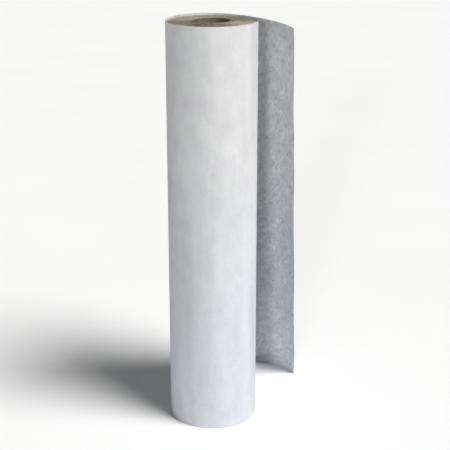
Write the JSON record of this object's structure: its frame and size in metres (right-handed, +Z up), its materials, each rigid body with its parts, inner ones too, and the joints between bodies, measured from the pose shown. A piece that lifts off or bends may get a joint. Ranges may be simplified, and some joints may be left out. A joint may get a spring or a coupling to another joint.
{
  "type": "crack isolation membrane roll",
  "caption": "Roll of fleece-faced crack isolation membrane standing on its end on a paperboard core, with the free end of the outer turn sprung loose.",
  "frame": {"origin": "on the floor under the middle of the object's box", "axes": "+Z up along the roll's axis, -Y towards the viewer of the picture, +X to the viewer's right, where the free end is"},
  "size_m": [0.3014, 0.3598, 0.9144],
  "materials": {
    "facing_fleece": "matte white spunbonded nonwoven",
    "membrane": "satin taupe polymer sheet",
    "backing_fleece": "matte grey nonwoven",
    "wound_laminate": "cut edges of the wound sheet",
    "core_board": "matte grey-brown board",
    "core_cover": "matte kraft paper",
    "core_liner": "matte kraft paper",
    "start_tape": "double-sided tape"
  },
  "bodies": {
    "roll": {"core_inner_ply": "core_liner", "core_tube": "core_board", "core_outer_ply": "core_cover", "start_tape": "start_tape", "first_turns_01_02": "wound_laminate", "wound_turns_03_13": "wound_laminate", "wound_turns_14_24": "wound_laminate", "wound_turns_25_35": "wound_laminate", "wound_turns_36_46": "wound_laminate", "outer_turns_47_49": "wound_laminate", "last_wrap_facing": "facing_fleece", "last_wrap_membrane": "membrane", "last_wrap_backing": "backing_fleece"},
    "tail_1": {"tail_1_facing": "facing_fleece", "tail_1_membrane": "membrane", "tail_1_backing": "backing_fleece"},
    "tail_2": {"tail_2_facing": "facing_fleece", "tail_2_membrane": "membrane", "tail_2_backing": "backing_fleece"},
    "tail_3": {"tail_3_facing": "facing_fleece", "tail_3_membrane": "membrane", "tail_3_backing": "backing_fleece"},
    "tail_4": {"tail_4_facing": "facing_fleece", "tail_4_membrane": "membrane", "tail_4_backing": "backing_fleece"},
    "tail_5": {"tail_5_facing": "facing_fleece", "tail_5_membrane": "membrane", "tail_5_backing": "backing_fleece"},
    "tail_6": {"tail_6_facing": "facing_fleece", "tail_6_membrane": "membrane", "tail_6_backing": "backing_fleece"}
  },
  "joints": [
    {"name": "tail_lift", "type": "hinge", "parent": "roll", "child": "tail_1", "pos_m": [-0.14937, -0.06813, 0.4572], "axis": [0, 0, 1], "range_deg": [0, 25]},
    {"name": "tail_curl_1", "type": "hinge", "parent": "tail_1", "child": "tail_2", "pos_m": [-0.12986, 0.00219, 0.45709], "axis": [0.0107, -0.0186, 0.9998], "range_deg": [-1, 16]},
    {"name": "tail_curl_2", "type": "hinge", "parent": "tail_2", "child": "tail_3", "pos_m": [-0.08988, 0.06092, 0.45629], "axis": [0.034, -0.053, 0.998], "range_deg": [-1.16, 18.41]},
    {"name": "tail_curl_3", "type": "hinge", "parent": "tail_3", "child": "tail_4", "pos_m": [-0.03177, 0.09851, 0.45416], "axis": [0.0489, -0.1043, 0.9933], "range_deg": [-1.31, 20.81]},
    {"name": "tail_curl_4", "type": "hinge", "parent": "tail_4", "child": "tail_5", "pos_m": [0.03646, 0.10553, 0.451], "axis": [0.0395, -0.1592, 0.9864], "range_deg": [-1.46, 23.21]},
    {"name": "tail_curl_5", "type": "hinge", "parent": "tail_5", "child": "tail_6", "pos_m": [0.09929, 0.07598, 0.44838], "axis": [0.0068, -0.1954, 0.9807], "range_deg": [-1.51, 24.01]}
  ],
  "couplings": [
    {"joint": "tail_curl_2", "follows": "tail_curl_1", "ratio": 1.15},
    {"joint": "tail_curl_3", "follows": "tail_curl_1", "ratio": 1.3},
    {"joint": "tail_curl_4", "follows": "tail_curl_1", "ratio": 1.45},
    {"joint": "tail_curl_5", "follows": "tail_curl_1", "ratio": 1.5}
  ]
}
